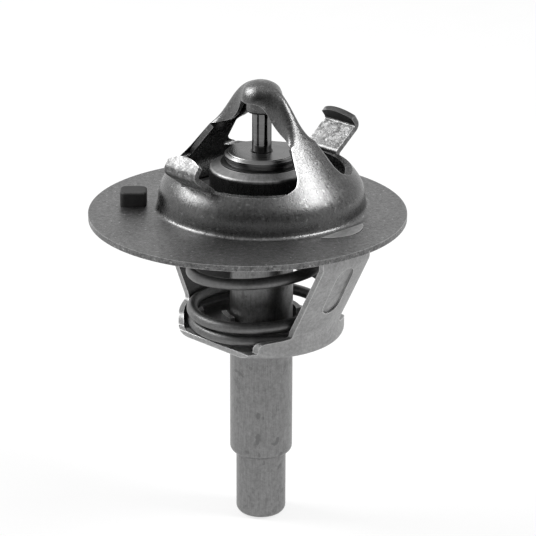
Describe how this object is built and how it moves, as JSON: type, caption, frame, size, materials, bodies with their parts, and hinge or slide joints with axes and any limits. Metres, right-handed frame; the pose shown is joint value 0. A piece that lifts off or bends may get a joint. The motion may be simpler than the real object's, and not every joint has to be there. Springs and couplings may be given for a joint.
{
  "type": "engine thermostat",
  "caption": "Wax engine thermostat with a drawn cage over its piston, a coil return spring, a strap frame and a stepped stem below an eccentric flange.",
  "frame": {"origin": "centre of the flange's circle on its top face", "axes": "+Z along the stem, towards the cage's crown; the flange's circle is centred on Z, and the stem's axis stands beside it at X 2.1 mm, Y 2.6 mm; the arms lie along the line between +X -Y and -X +Y"},
  "size_m": [0.048, 0.048, 0.0706],
  "materials": {
    "cage_steel": "burnished deep-drawn sheet",
    "frame_steel": "dull stamped sheet",
    "spring_steel": "dark drawn wire",
    "piston_steel": "ground and polished",
    "guide_metal": "turned",
    "cup_metal": "drawn, faint lengthwise marks",
    "washer_plastic": "moulded",
    "sleeve_rubber": "moulded",
    "wax": "waxy, filled with metal powder",
    "valve_steel": "stamped sheet",
    "seal_rubber": "moulded",
    "vent_plastic": "moulded"
  },
  "bodies": {
    "cage_and_frame": {"upper_cage": "cage_steel", "lower_frame": "frame_steel", "main_spring": "spring_steel", "piston": "piston_steel"},
    "element": {"guide_head": "guide_metal", "wax_cup": "cup_metal", "backup_washer": "washer_plastic", "rubber_sleeve": "sleeve_rubber", "wax_charge": "wax", "main_valve": "valve_steel", "valve_seal": "seal_rubber"},
    "vent": {"vent_pin": "vent_plastic"}
  },
  "joints": [
    {"name": "valve_lift", "type": "slide", "parent": "cage_and_frame", "child": "element", "axis": [0, 0, -1], "range_m": [0, 0.007], "stiffness_N_per_m": 4000, "springref_m": -0.012, "deforming": ["main_spring"]},
    {"name": "vent_lift", "type": "slide", "parent": "cage_and_frame", "child": "vent", "axis": [0, 0, 1], "range_m": [0, 0.0008]}
  ]
}
